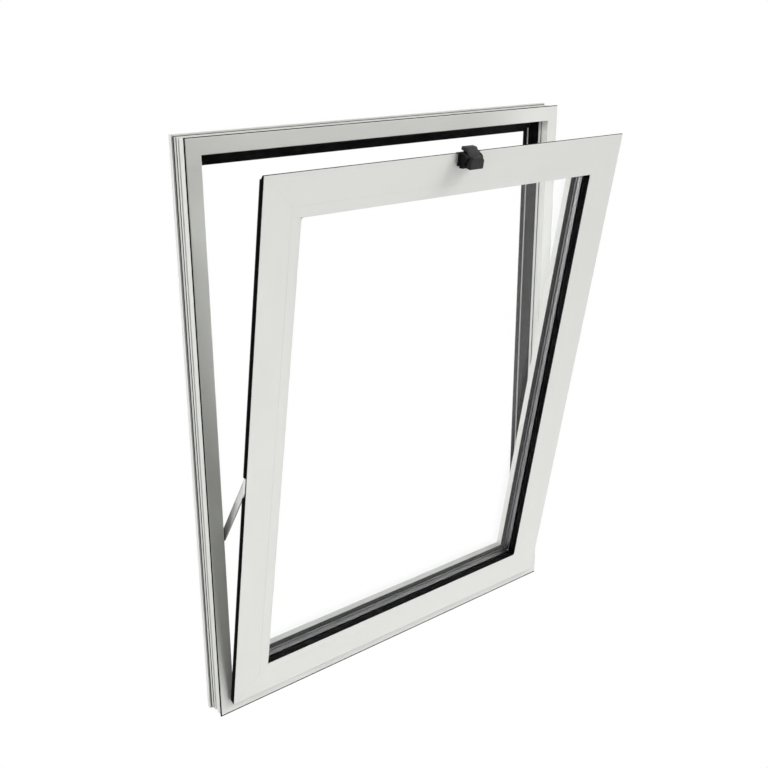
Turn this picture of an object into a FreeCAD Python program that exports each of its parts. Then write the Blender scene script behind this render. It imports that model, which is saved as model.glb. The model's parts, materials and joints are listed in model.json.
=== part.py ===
"""Bottom-hung hopper window: a white aluminium frame with a thermal break, and a glazed sash that tilts
into the room on two hinges along its bottom edge, held by two side stays, with a rocker latch on top.

Millimetres, +X along the width, +Y from the room to the outside, +Z up.  The origin is the middle of the
sill's underside, on the flat land behind its front groove.  The sash is drawn closed and then tilted open.
"""
import FreeCAD
import Part
import math
import os

Vec = FreeCAD.Vector

# Frame
FRAME_W = 1000.0            # outside width of the frame, without its outer lip
FRAME_H = 1250.0            # outside height of the frame, without its outer lip
FRAME_D = 54.0              # depth from the room-side face to the outside face
SEAT_DEPTH = 12.0           # how far the origin lies behind the room-side face
FLANGE_W = 32.0             # width of the room-side face
RIDGE_H = 1.5               # ridge that stands up from the rebate wall
RIDGE_START = 19.0          # depths along the frame, from the room-side face
RIDGE_END = 26.0
INNER_D = 32.0              # depth of the inner aluminium profile
BREAK_D = 4.0               # open width of the thermal break on the outside perimeter
BREAK_RECESS = 0.5          # how far the break lies below the outside perimeter
BREAK_W = 28.0              # inset of the break's far side
FRONT_GROOVE = (1.5, 6.5)   # start and end of the groove behind the room-side face
FRONT_GROOVE_DEPTH = 8.0
RECESS = (17.0, 27.0)       # start and end of the shallow recess
RECESS_DEPTH = 1.6
BACK_GROOVE = (43.0, 44.5)  # start and end of the groove in front of the outer lip
BACK_GROOVE_DEPTH = 6.0
LIP = 4.0                   # outer lip that laps over the wall's outside face
LEG_START = 44.0            # room-side face of the outer profile's leg
LEG_W = 50.0                # inset of the leg's tip
CENTRE_GASKET_W = 40.0      # inset of the centre gasket's foot, against the leg
CENTRE_GASKET_T = 2.5       # thickness of the centre gasket's flap on the leg
STOP_GASKET_START = 48.0    # depth where the stop gasket starts on the leg
STOP_GASKET_W = 58.5        # inset of the stop gasket's lip
STOP_GASKET_FOOT = 44.0     # inset of the stop gasket's foot
FLANGE_ROUND = 1.0          # round on the flange's inside edge
FACE_ROUND = 1.2            # round on the room-side face's outside edge

# Sash
SASH_INSET = 25.0           # from the frame's outside edge to the sash's edge
SASH_D = 62.0               # depth of the sash
SASH_PROUD = 10.1           # how far the closed sash stands in front of the frame
SASH_FACE = 85.0            # face width of the stiles and the top rail, beads included
BOTTOM_FACE = 76.2          # face width of the bottom rail, beads included
OVERLAP_W = 24.0            # width of the flange that overlaps the frame
OVERLAP_T = 1.5             # thickness of that flange
BEAD_W = 22.0               # glazing bead with its gasket lining
BEAD_D = 16.0               # depth of the bead
LINING_T = 1.5              # gasket lining on the bead's edge
LINING_SETBACK = 0.5        # lining's front edge behind the sash face
SASH_INNER_D = 30.0         # depth of the sash's inner profile
SASH_BREAK_END = 46.0       # where the sash's outer profile starts
SASH_OUTER_W = 41.0         # inset of the sash's outer profile
SASH_BREAK_W = 58.0         # inset of the break's glass side
SASH_TIP_W = 90.5           # inset of the outer profile's tip, past the bead
GASKET_SETBACK = 1.0        # outer glazing gasket's edge behind the tip
GASKET_FOOT = 14.0          # foot of a glazing gasket on the glass
OVERLAP_GASKET = (3.0, 9.0)  # inset of the two sides of the overlap gasket's bulb
OVERLAP_GASKET_D = 6.5      # height of the bulb on the flange's back
OVERLAP_EDGE_D = 3.5        # height of the gasket's strip along the flange's edge

# Glass
PANE_T = 4.0
SPACER_T = 18.5
SPACER_W = 17.0
GLASS_EDGE = 5.0            # from the inner profile to the edge of the glass
GLASS_FRONT = BEAD_D + 1.0  # depth of the inner pane's room-side face

# Tilt
OPEN_DEG = 10.0             # how far the sash stands open
HINGE_AHEAD = 3.4           # hinge axis in front of the frame's room-side face
HINGE_HEIGHT = 22.0         # hinge axis above the frame's underside

# Hinges
HINGE_FROM_SIDE = 200.0     # from the frame's side to the middle of a hinge
KNUCKLE_R = 2.8
HINGE_PIN_R = 1.4
PIN_FIT = 0.05              # running clearance round a pin
KNUCKLE_L = 24.0            # length of one knuckle
KNUCKLE_GAP = 0.4
LEAF_T = 2.0
LEAF_CLEAR = 0.5            # from the other leaf's knuckle to this leaf's plate
FRAME_LEAF_H = 6.0
SASH_LEAF_H = 12.0
SEAL_GAP = 1.0              # from a hinge's leaf to the cut end of the overlap gasket

# Stays
STAY_PIVOT_Z = 424.0        # height of the stay's pivot on the jamb
STAY_DEPTH = 12.0           # depth of the pivot behind the room-side face
STAY_L = 196.0              # between the two pins of a stay
STAY_W = 17.0
STAY_T = 3.0
BRACKET_T = 2.5
BRACKET_W = 14.0
BRACKET_H = 50.0
STAY_SIDE_GAP = 1.0         # from the bracket to the arm
STAY_PIN_R = 3.0
PIN_HEAD_R = 5.0
PIN_HEAD_T = 2.0
PIN_HEAD_GAP = 0.5
TRACK_T = 3.0
TRACK_W = 13.0
TRACK_AHEAD = 5.0           # closed track's middle line in front of the pivot
TRACK_CLEAR = 0.9           # from the pin to the track's slot
TRACK_END = 8.0             # track beyond the pin's travel
SLOT_PLAY = 1.0             # slot beyond the pin's travel

# Latch
LATCH_X = 1.5               # middle of the latch, right of the sash's middle
LATCH_BASE_W = 60.0
LATCH_BASE_T = 4.0
LATCH_BELOW = 25.0          # base below the sash's top edge
LATCH_LIP_T = 1.5           # lip of the base that lies on the sash's top edge
LATCH_LIP_BACK = 3.5        # reach of that lip behind the sash face
LATCH_AXIS_OUT = 14.0       # pivot in front of the sash face
LATCH_AXIS_DOWN = 7.0       # pivot below the sash's top edge
LATCH_PIN_R = 2.5
EAR_T = 5.0
EAR_R = 7.0
EAR_GAP = 0.5
ROCKER_W = 30.5
BEAK_UP = 10.6              # top of the beak above the sash's top edge
BEAK_CLEAR = 5.0            # underside of the beak above the sash's top edge
BEAK_BACK = 5.0             # reach of the beak behind the sash face
BEAK_ROUND = 3.0
HOOD_CREST = 7.0            # front of the hood's flat top before the sash face
HOOD_KNEE = (17.0, -0.5)    # foot of the hood's slope: before the sash face, above its top edge
HOOD_FRONT = 24.0           # front of the rocker before the sash face
HOOD_LIP = 3.0              # upper end of that front below the sash's top edge
HOOD_BACK_GAP = 3.0         # from the base to the hood's back
THUMB_W = 34.0
THUMB_OUT = 29.5            # front of the thumb piece before the sash face
THUMB_T = 7.0
THUMB_TOP = 3.0             # upper end of the thumb piece below the sash's top edge
THUMB_DOWN = 25.0           # lower end of the thumb piece below the sash's top edge
THUMB_CHAMFER = 6.0         # cut upper corners of the thumb piece
THUMB_ROUND = 1.5

# Places worked out from the sizes
ROOM_Y = -SEAT_DEPTH
SASH_Y = ROOM_Y - SASH_PROUD
SASH_TOP = FRAME_H - SASH_INSET
HINGE_Y = ROOM_Y - HINGE_AHEAD
BEAD_START = SASH_FACE - BEAD_W
GLASS_INSET = BEAD_START + GLASS_EDGE
GLASS_BACK = GLASS_FRONT + PANE_T + SPACER_T + PANE_T
STAY_Y = ROOM_Y + STAY_DEPTH
TRACK_Y = STAY_Y - TRACK_AHEAD
HINGE_X = FRAME_W / 2 - HINGE_FROM_SIDE
HINGE_HALF = 1.5 * KNUCKLE_L + KNUCKLE_GAP
LEAF_LOW = HINGE_HEIGHT + KNUCKLE_R + LEAF_CLEAR
POINT_FIT = 0.001           # two points this near are the same
SIDES = ("bottom", "right", "top", "left")
FRAME_NAMES = {"bottom": "sill", "right": "right_jamb", "top": "head", "left": "left_jamb"}
SASH_NAMES = {"bottom": "bottom_rail", "right": "right_stile", "top": "top_rail", "left": "left_stile"}


def frame_corners(inset):
    """Corners of the frame at an inset from its outside edge, bottom left first, anticlockwise."""
    left, right = -FRAME_W / 2 + inset, FRAME_W / 2 - inset
    low, high = inset, FRAME_H - inset
    return [(left, low), (right, low), (right, high), (left, high)]


def sash_corners(inset):
    """Corners of the closed sash at an inset from its edge; the bottom rail is narrower in proportion."""
    left, right = -FRAME_W / 2 + SASH_INSET + inset, FRAME_W / 2 - SASH_INSET - inset
    low = SASH_INSET + inset * BOTTOM_FACE / SASH_FACE
    high = SASH_TOP - inset
    return [(left, low), (right, low), (right, high), (left, high)]


def solid_from(faces):
    """Closed solid from flat faces, each a list of points."""
    shell = Part.Shell([Part.Face(Part.makePolygon(face + face[:1])) for face in faces])
    shell.sewShape()
    solid = Part.Solid(shell)
    if solid.Volume < 0:
        solid.reverse()
    return solid.removeSplitter()


def profile_points(profile, corners, corner, front):
    """A profile's points (inset, depth) at one corner of a rectangle."""
    points = []
    for inset, depth in profile:
        x, z = corners(inset)[corner]
        points.append(Vec(x, front + depth, z))
    return points


def side_faces(start, end):
    """The long faces between a profile at one corner and the same profile at the next."""
    count = len(start)
    faces = []
    for k in range(count):
        n = (k + 1) % count
        faces.append([start[k], start[n], end[n], end[k]])
    return faces


def mitred_bar(profile, corners, side, front):
    """One side of a mitred frame: the profile carried from corner to corner, cut along both mitres."""
    first = SIDES.index(side)
    start = profile_points(profile, corners, first, front)
    end = profile_points(profile, corners, (first + 1) % 4, front)
    return solid_from(side_faces(start, end) + [start, end])


def mitred_ring(profile, corners, front):
    """All four sides in one closed ring."""
    faces = []
    for first in range(4):
        start = profile_points(profile, corners, first, front)
        end = profile_points(profile, corners, (first + 1) % 4, front)
        faces += side_faces(start, end)
    return solid_from(faces)


def box(x0, x1, y0, y1, z0, z1):
    """Box between two limits on each axis."""
    return Part.makeBox(x1 - x0, y1 - y0, z1 - z0, Vec(x0, y0, z0))


def rod(radius, x0, x1, y, z):
    """Round bar along X."""
    return Part.makeCylinder(radius, x1 - x0, Vec(x0, y, z), Vec(1, 0, 0))


def tilted(shape):
    """A piece of the closed sash, turned to where it stands open."""
    turned = shape.copy()
    turned.rotate(Vec(0, HINGE_Y, HINGE_HEIGHT), Vec(1, 0, 0), OPEN_DEG)
    return turned


def frame_profiles():
    """Inner and outer aluminium profiles of the frame, as points (inset, depth)."""
    inner = [(0, 0), (FLANGE_W, 0), (FLANGE_W, RIDGE_START), (FLANGE_W + RIDGE_H, RIDGE_START),
             (FLANGE_W + RIDGE_H, RIDGE_END), (BREAK_W, RIDGE_END), (BREAK_W, INNER_D), (0, INNER_D),
             (0, RECESS[1]), (RECESS_DEPTH, RECESS[1]), (RECESS_DEPTH, RECESS[0]), (0, RECESS[0]),
             (0, FRONT_GROOVE[1]), (FRONT_GROOVE_DEPTH, FRONT_GROOVE[1]),
             (FRONT_GROOVE_DEPTH, FRONT_GROOVE[0]), (0, FRONT_GROOVE[0])]
    outer_start = INNER_D + BREAK_D
    outer = [(0, outer_start), (BREAK_W, outer_start), (BREAK_W, LEG_START), (LEG_W, LEG_START),
             (LEG_W, STOP_GASKET_START), (STOP_GASKET_FOOT, STOP_GASKET_START), (STOP_GASKET_FOOT, FRAME_D),
             (-LIP, FRAME_D), (-LIP, BACK_GROOVE[1]), (BACK_GROOVE_DEPTH, BACK_GROOVE[1]),
             (BACK_GROOVE_DEPTH, BACK_GROOVE[0]), (0, BACK_GROOVE[0])]
    return inner, outer


def rounded_along(bar, point, side, radius):
    """A bar of the frame with the long edge that runs through one profile point rounded."""
    first = SIDES.index(side)
    start = profile_points([point], frame_corners, first, ROOM_Y)[0]
    end = profile_points([point], frame_corners, (first + 1) % 4, ROOM_Y)[0]
    middle = (start + end) / 2
    along = [edge for edge in bar.Edges if edge.CenterOfMass.distanceToPoint(middle) < POINT_FIT]
    return bar.makeFillet(radius, along)


def build_frame():
    """The fixed frame: two aluminium profiles on each side, the thermal break and two gaskets."""
    inner, outer = frame_profiles()
    pieces = {}
    for side in SIDES:
        bar = mitred_bar(inner, frame_corners, side, ROOM_Y)
        bar = rounded_along(bar, (FLANGE_W, 0), side, FLANGE_ROUND)
        pieces[FRAME_NAMES[side] + "_inner"] = rounded_along(bar, (0, 0), side, FACE_ROUND)
        pieces[FRAME_NAMES[side] + "_outer"] = mitred_bar(outer, frame_corners, side, ROOM_Y)
    gap_end = INNER_D + BREAK_D
    strip = [(BREAK_RECESS, INNER_D), (BREAK_W, INNER_D), (BREAK_W, gap_end), (BREAK_RECESS, gap_end)]
    pieces["frame_thermal_break"] = mitred_ring(strip, frame_corners, ROOM_Y)
    flap = LEG_START - CENTRE_GASKET_T
    wedge = [(BREAK_W, RIDGE_END), (FLANGE_W + RIDGE_H, RIDGE_END), (CENTRE_GASKET_W, flap), (LEG_W, flap),
             (LEG_W, LEG_START), (BREAK_W, LEG_START)]
    pieces["frame_centre_gasket"] = mitred_ring(wedge, frame_corners, ROOM_Y)
    stop = [(STOP_GASKET_FOOT, STOP_GASKET_START), (STOP_GASKET_W, STOP_GASKET_START),
            (STOP_GASKET_W, FRAME_D), (STOP_GASKET_FOOT, FRAME_D)]
    pieces["frame_stop_gasket"] = mitred_ring(stop, frame_corners, ROOM_Y)
    return pieces


def build_sash():
    """The closed sash: two aluminium profiles on each side, the thermal break and the overlap gasket."""
    inner = [(0, 0), (BEAD_START, 0), (BEAD_START, SASH_INNER_D), (OVERLAP_W, SASH_INNER_D),
             (OVERLAP_W, OVERLAP_T), (0, OVERLAP_T)]
    outer = [(SASH_OUTER_W, SASH_BREAK_END), (SASH_TIP_W, SASH_BREAK_END), (SASH_TIP_W, SASH_D),
             (SASH_OUTER_W, SASH_D)]
    pieces = {}
    for side in SIDES:
        pieces["sash_" + SASH_NAMES[side] + "_inner"] = mitred_bar(inner, sash_corners, side, SASH_Y)
        pieces["sash_" + SASH_NAMES[side] + "_outer"] = mitred_bar(outer, sash_corners, side, SASH_Y)
    strip = [(OVERLAP_W, SASH_INNER_D), (SASH_BREAK_W, SASH_INNER_D), (SASH_BREAK_W, SASH_BREAK_END),
             (OVERLAP_W, SASH_BREAK_END)]
    pieces["sash_thermal_break"] = mitred_ring(strip, sash_corners, SASH_Y)
    near, far = OVERLAP_GASKET
    edge_back, bulb_back = OVERLAP_T + OVERLAP_EDGE_D, OVERLAP_T + OVERLAP_GASKET_D
    seal = [(0, OVERLAP_T), (far, OVERLAP_T), (far, bulb_back), (near, bulb_back), (near, edge_back),
            (0, edge_back)]
    gasket = mitred_ring(seal, sash_corners, SASH_Y)
    for centre in (-HINGE_X, HINGE_X):
        gasket = gasket.cut(box(centre - HINGE_HALF - SEAL_GAP, centre + HINGE_HALF + SEAL_GAP,
                                SASH_Y + OVERLAP_T, SASH_Y + bulb_back,
                                SASH_INSET, LEAF_LOW + SASH_LEAF_H + SEAL_GAP))
    pieces["sash_overlap_gasket"] = gasket
    return pieces


def build_glazing():
    """Beads, glazing gaskets and the sealed pair of panes with its spacer."""
    pieces = {}
    bead_end = SASH_FACE - LINING_T
    outside, inside = sash_corners(BEAD_START), sash_corners(bead_end)
    (x0, z0), (x1, z1) = outside[0], outside[2]
    (x2, z2), (x3, z3) = inside[0], inside[2]
    y0, y1 = SASH_Y, SASH_Y + BEAD_D
    pieces["bead_top"] = box(x0, x1, y0, y1, z3, z1)
    pieces["bead_bottom"] = box(x0, x1, y0, y1, z0, z2)
    pieces["bead_left"] = box(x0, x2, y0, y1, z2, z3)
    pieces["bead_right"] = box(x3, x1, y0, y1, z2, z3)
    foot = SASH_FACE - GASKET_FOOT
    lining = [(foot, BEAD_D), (bead_end, BEAD_D), (bead_end, LINING_SETBACK), (SASH_FACE, LINING_SETBACK),
              (SASH_FACE, GLASS_FRONT), (foot, GLASS_FRONT)]
    pieces["glazing_gasket_inner"] = mitred_ring(lining, sash_corners, SASH_Y)
    edge = SASH_TIP_W - GASKET_SETBACK
    seat = [(edge - GASKET_FOOT, GLASS_BACK), (edge, GLASS_BACK), (edge, SASH_BREAK_END),
            (edge - GASKET_FOOT, SASH_BREAK_END)]
    pieces["glazing_gasket_outer"] = mitred_ring(seat, sash_corners, SASH_Y)
    (x0, z0), (x1, z1) = sash_corners(GLASS_INSET)[0], sash_corners(GLASS_INSET)[2]
    y0 = SASH_Y + GLASS_FRONT
    y1 = y0 + PANE_T + SPACER_T
    pieces["pane_inner"] = box(x0, x1, y0, y0 + PANE_T, z0, z1)
    pieces["pane_outer"] = box(x0, x1, y1, y1 + PANE_T, z0, z1)
    between = (GLASS_FRONT + PANE_T, GLASS_FRONT + PANE_T + SPACER_T)
    spacer = [(GLASS_INSET, between[0]), (GLASS_INSET + SPACER_W, between[0]),
              (GLASS_INSET + SPACER_W, between[1]), (GLASS_INSET, between[1])]
    pieces["glass_spacer"] = mitred_ring(spacer, sash_corners, SASH_Y)
    return pieces


def hinge_leaves(centre):
    """One hinge: the frame's leaf with two knuckles and the pin, and the closed sash's leaf with one."""
    half = KNUCKLE_L / 2
    end = HINGE_HALF
    back = SASH_Y + OVERLAP_T
    bore = rod(HINGE_PIN_R + PIN_FIT, centre - end, centre + end, HINGE_Y, HINGE_HEIGHT)
    frame_leaf = box(centre - end, centre + end, ROOM_Y - LEAF_T, ROOM_Y, LEAF_LOW, LEAF_LOW + FRAME_LEAF_H)
    for x0, x1 in ((-end, -half - KNUCKLE_GAP), (half + KNUCKLE_GAP, end)):
        neck = box(centre + x0, centre + x1, ROOM_Y - LEAF_T, ROOM_Y, HINGE_HEIGHT, LEAF_LOW)
        knuckle = rod(KNUCKLE_R, centre + x0, centre + x1, HINGE_Y, HINGE_HEIGHT)
        frame_leaf = frame_leaf.fuse([neck, knuckle])
    pin = rod(HINGE_PIN_R, centre - end, centre + end, HINGE_Y, HINGE_HEIGHT)
    sash_leaf = box(centre - end, centre + end, back, back + LEAF_T, LEAF_LOW, LEAF_LOW + SASH_LEAF_H)
    neck = box(centre - half, centre + half, back, HINGE_Y, HINGE_HEIGHT, LEAF_LOW)
    knuckle = rod(KNUCKLE_R, centre - half, centre + half, HINGE_Y, HINGE_HEIGHT)
    sash_leaf = sash_leaf.fuse([neck, knuckle]).cut(bore).removeSplitter()
    return frame_leaf.fuse(pin).removeSplitter(), sash_leaf


def stay_angles():
    """Lean of a stay with the sash closed and open, in degrees, its upper pin on the track's middle line."""
    tilt = math.radians(OPEN_DEG)
    rise, set_back = STAY_PIVOT_Z - HINGE_HEIGHT, STAY_Y - HINGE_Y
    track_back = TRACK_Y - HINGE_Y
    lean = tilt
    for _ in range(60):
        height = rise + STAY_L * math.cos(lean)
        reach = set_back + height * math.tan(tilt) - track_back / math.cos(tilt)
        lean = math.asin(reach / STAY_L)
    return math.degrees(math.asin(TRACK_AHEAD / STAY_L)), math.degrees(lean)


def pin_on_track(lean_deg, tilt_deg):
    """Height along the closed sash of a stay's upper pin, for a lean of the stay and a tilt of the sash."""
    tilt, lean = math.radians(tilt_deg), math.radians(lean_deg)
    y = STAY_Y - STAY_L * math.sin(lean) - HINGE_Y
    z = STAY_PIVOT_Z + STAY_L * math.cos(lean) - HINGE_HEIGHT
    return HINGE_HEIGHT + z * math.cos(tilt) - y * math.sin(tilt)


def build_stay(hand):
    """One stay: bracket with its pin on the jamb, arm with its upper pin, and track on the closed sash."""
    def at(inset_a, inset_b):
        limits = sorted((hand * (FRAME_W / 2 - inset_a), hand * (FRAME_W / 2 - inset_b)))
        return limits[0], limits[1]

    arm_start = FLANGE_W + BRACKET_T + STAY_SIDE_GAP
    arm_end = arm_start + STAY_T
    head_start = arm_end + PIN_HEAD_GAP
    track_end = SASH_INSET + OVERLAP_W
    track_start = track_end - TRACK_T
    bracket = box(*at(FLANGE_W, FLANGE_W + BRACKET_T), STAY_Y - BRACKET_W / 2, STAY_Y + BRACKET_W / 2,
                  STAY_PIVOT_Z - BRACKET_H / 2, STAY_PIVOT_Z + BRACKET_H / 2)
    pin = rod(STAY_PIN_R, *at(FLANGE_W + BRACKET_T, head_start), STAY_Y, STAY_PIVOT_Z)
    head = rod(PIN_HEAD_R, *at(head_start, head_start + PIN_HEAD_T), STAY_Y, STAY_PIVOT_Z)
    bracket = bracket.fuse([pin, head]).removeSplitter()

    top = STAY_PIVOT_Z + STAY_L
    arm = box(*at(arm_start, arm_end), STAY_Y - STAY_W / 2, STAY_Y + STAY_W / 2, STAY_PIVOT_Z, top)
    for z in (STAY_PIVOT_Z, top):
        arm = arm.fuse(rod(STAY_W / 2, *at(arm_start, arm_end), STAY_Y, z))
    arm = arm.cut(rod(STAY_PIN_R + PIN_FIT, *at(arm_start, arm_end), STAY_Y, STAY_PIVOT_Z))
    arm = arm.fuse(rod(STAY_PIN_R, *at(arm_end, track_end - TRACK_CLEAR), STAY_Y, top)).removeSplitter()
    closed_lean, open_lean = stay_angles()
    arm.rotate(Vec(0, STAY_Y, STAY_PIVOT_Z), Vec(1, 0, 0), open_lean)

    low, high = sorted((pin_on_track(open_lean, OPEN_DEG), pin_on_track(closed_lean, 0)))
    track = box(*at(track_start, track_end), TRACK_Y - TRACK_W / 2, TRACK_Y + TRACK_W / 2,
                low - STAY_PIN_R - TRACK_END, high + STAY_PIN_R + TRACK_END)
    slot_r = STAY_PIN_R + TRACK_CLEAR
    slot = box(*at(track_start, track_end), TRACK_Y - slot_r, TRACK_Y + slot_r,
               low - SLOT_PLAY, high + SLOT_PLAY)
    for z in (low - SLOT_PLAY, high + SLOT_PLAY):
        slot = slot.fuse(rod(slot_r, *at(track_start, track_end), TRACK_Y, z))
    return bracket, arm, track.cut(slot)


def carried_across(profile, width):
    """A profile (out from the sash face, up from its top edge) carried across a width of the latch."""
    points = [Vec(LATCH_X - width / 2, SASH_Y - out, SASH_TOP + up) for out, up in profile]
    return Part.Face(Part.makePolygon(points + points[:1])).extrude(Vec(width, 0, 0))


def build_latch():
    """Rocker latch on the closed sash: base with two ears and a pin, rocker with its beak, thumb piece."""
    axis_y, axis_z = SASH_Y - LATCH_AXIS_OUT, SASH_TOP - LATCH_AXIS_DOWN
    half = ROCKER_W / 2
    ear_start, ear_end = half + EAR_GAP, half + EAR_GAP + EAR_T
    plate = [(0, -LATCH_BELOW), (LATCH_BASE_T, -LATCH_BELOW), (LATCH_BASE_T, LATCH_LIP_T),
             (-LATCH_LIP_BACK, LATCH_LIP_T), (-LATCH_LIP_BACK, 0), (0, 0)]
    base = carried_across(plate, LATCH_BASE_W)
    for x0 in (LATCH_X - ear_end, LATCH_X + ear_start):
        ear = box(x0, x0 + EAR_T, axis_y, SASH_Y - LATCH_BASE_T, SASH_TOP - LATCH_BELOW, axis_z + EAR_R)
        base = base.fuse([ear, rod(EAR_R, x0, x0 + EAR_T, axis_y, axis_z)])
    base = base.fuse(rod(LATCH_PIN_R, LATCH_X - ear_end, LATCH_X + ear_end, axis_y, axis_z)).removeSplitter()

    back = LATCH_BASE_T + HOOD_BACK_GAP
    hood = [(-BEAK_BACK, BEAK_CLEAR), (-BEAK_BACK, BEAK_UP - BEAK_ROUND), (-BEAK_BACK + BEAK_ROUND, BEAK_UP),
            (HOOD_CREST, BEAK_UP), HOOD_KNEE, (HOOD_FRONT, -HOOD_LIP), (HOOD_FRONT, -THUMB_DOWN),
            (LATCH_AXIS_OUT, -THUMB_DOWN), (back, -LATCH_AXIS_DOWN), (back, BEAK_CLEAR)]
    barrel = rod(EAR_R, LATCH_X - half, LATCH_X + half, axis_y, axis_z)
    bore = rod(LATCH_PIN_R + PIN_FIT, LATCH_X - half, LATCH_X + half, axis_y, axis_z)
    rocker = carried_across(hood, ROCKER_W).fuse(barrel).cut(bore).removeSplitter()

    side, cut = THUMB_W / 2, THUMB_W / 2 - THUMB_CHAMFER
    low, high = SASH_TOP - THUMB_DOWN, SASH_TOP - THUMB_TOP
    outline = [(-side, low), (side, low), (side, high - THUMB_CHAMFER), (cut, high), (-cut, high),
               (-side, high - THUMB_CHAMFER)]
    points = [Vec(LATCH_X + x, SASH_Y - THUMB_OUT, z) for x, z in outline]
    thumb = Part.Face(Part.makePolygon(points + points[:1])).extrude(Vec(0, THUMB_T, 0))
    front = [edge for edge in thumb.Edges
             if all(v.Y < SASH_Y - THUMB_OUT + POINT_FIT for v in edge.Vertexes)]
    thumb = thumb.makeFillet(THUMB_ROUND, front).cut(rocker)
    return base, rocker, thumb


def build_all():
    """Every piece by name, in its place with the sash standing open."""
    pieces = build_frame()
    moving = build_sash()
    moving.update(build_glazing())
    for name, hand in (("left", -1), ("right", 1)):
        frame_leaf, sash_leaf = hinge_leaves(hand * HINGE_X)
        bracket, arm, track = build_stay(hand)
        pieces["hinge_" + name + "_frame_leaf"] = frame_leaf
        pieces["stay_" + name + "_bracket"] = bracket
        pieces["stay_" + name + "_arm"] = arm
        moving["hinge_" + name + "_sash_leaf"] = sash_leaf
        moving["stay_" + name + "_track"] = track
    moving["latch_base"], moving["latch_rocker"], moving["latch_thumb"] = build_latch()
    for name, shape in moving.items():
        pieces[name] = tilted(shape)
    return pieces


def main():
    """Write each piece to its own file."""
    os.makedirs("parts", exist_ok=True)
    for name, shape in build_all().items():
        shape.exportStep(os.path.join("parts", name + ".step"))
        print(name, round(shape.Volume / 1000, 2), shape.isValid(), len(shape.Solids))
    closed_lean, open_lean = stay_angles()
    print("stay swings", open_lean - closed_lean, "ratio", (open_lean - closed_lean) / OPEN_DEG)


main()
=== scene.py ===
"""Studio scene of a white aluminium hopper window, its sash tilted open into the room.

The scene is in metres, +X along the width, +Y from the room to the outside, +Z up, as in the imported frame.
Sizes of pieces are given in millimetres.  A piece of the sash is worked out for the closed sash and then
tilted open, as in the part's source.
"""
import json
import math
import bmesh
import bpy
import numpy as np
from mathutils import Euler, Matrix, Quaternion, Vector


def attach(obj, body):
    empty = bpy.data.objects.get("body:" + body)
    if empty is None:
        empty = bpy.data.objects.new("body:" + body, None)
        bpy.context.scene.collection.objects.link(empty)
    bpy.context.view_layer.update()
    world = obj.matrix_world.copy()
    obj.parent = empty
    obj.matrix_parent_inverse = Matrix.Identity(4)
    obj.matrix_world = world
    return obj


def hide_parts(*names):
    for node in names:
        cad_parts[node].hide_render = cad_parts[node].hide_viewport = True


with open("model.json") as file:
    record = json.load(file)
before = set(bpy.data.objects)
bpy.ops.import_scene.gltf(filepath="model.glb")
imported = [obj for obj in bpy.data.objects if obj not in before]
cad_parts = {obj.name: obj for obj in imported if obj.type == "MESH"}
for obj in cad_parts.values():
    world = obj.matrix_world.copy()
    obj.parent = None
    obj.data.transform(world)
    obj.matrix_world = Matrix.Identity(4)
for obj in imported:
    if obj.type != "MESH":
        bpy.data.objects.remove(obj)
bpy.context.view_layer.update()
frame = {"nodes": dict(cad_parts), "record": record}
NODES = frame["nodes"]
SLOT_OF = {part["node"]: part["material_slot"] for part in frame["record"]["subparts"]}
MM = 0.001
HANDS = {"left": -1, "right": 1}

# Camera, placed as the photograph was taken
CAMERA_PLACE = (-1.47137, -1.76729, 1.48039)
CAMERA_TURN = 39.294          # degrees to the right of straight ahead
CAMERA_DIP = 19.631           # degrees below level
CAMERA_ROLL = -0.194
CAMERA_LENS = 50.0
CAMERA_SENSOR = 36.0
CAMERA_SIGHT = 100.0          # furthest distance that it sees

# Light: a lamp's bearing (from the room's side to the right) and height in degrees, and its strength
LAMP_SPREAD = 35.0            # degrees that a lamp's disc takes up
LAMPS = {"key": (60.0, 33.0, 0.68),
         "front": (40.0, 0.0, 0.15),
         "low_front": (38.0, -40.0, 0.47),
         "left_front": (-60.0, 0.0, 0.15),
         "left": (-100.0, 25.0, 0.19),
         "left_back": (-135.0, -15.0, 0.51),
         "top": (0.0, 80.0, 0.30),
         "back": (180.0, 20.0, 0.45)}
FLOOR_DROP = 0.9              # floor below the window's sill
FLOOR_SIZE = 14.0
FLOOR_GREY = 0.25

# Finishes
COAT_WHITE = (0.765, 0.773, 0.735)
RUBBER_BLACK = (0.005, 0.005, 0.005)
POLYAMIDE_BLACK = (0.006, 0.006, 0.006)
GLASS_CLEAR = (1.0, 1.0, 1.0)
SPACER_GREY = (0.22, 0.22, 0.22)
STEEL_GREY = (0.48, 0.48, 0.47)
LATCH_BLACK = (0.036, 0.036, 0.037)
# Darker copy of the latch plastic for the base, lip, ears, pin and ribs: painted shade of their sides turned
# from the key lamp
LATCH_BASE_SHADED_BLACK = (0.016, 0.016, 0.017)
RUBBER_SPECULAR = 0.03
LATCH_SPECULAR = 0.05
GLASS_IOR = 1.02              # the thin panes hardly shift what lies behind them
GLASS_COAT = 0.4              # weight of the coat that gives the panes their gloss
METAL_SPREAD = 0.08           # roughness of a metal above and below its mean
NOISE_RANGE = (0.3, 0.7)      # noise values over which a finish goes from one end of its range to the other

# Edges and faces
EDGE_ROUND = 0.0003           # round on the edges of the CAD nodes, in metres
EDGE_STEPS = 2
EDGE_ANGLE = 30.0             # degrees from which an edge is rounded
WELD_REACH = 1e-6
FLAT_WEIGHT = 100             # how firmly large faces stay flat
MERGE_REACH = 1e-7
SMOOTH_ANGLE = 35.0           # degrees up to which a new piece is shaded smooth
MOST_OF_SIDE = 0.49           # the most of an outline's side that the round of one corner takes up
PROFILE_STEPS = 4             # points on each round of a profile that is carried round a loop
LATCH_STEPS = 7               # points on each round of the hood's and the rocker's outlines

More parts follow.
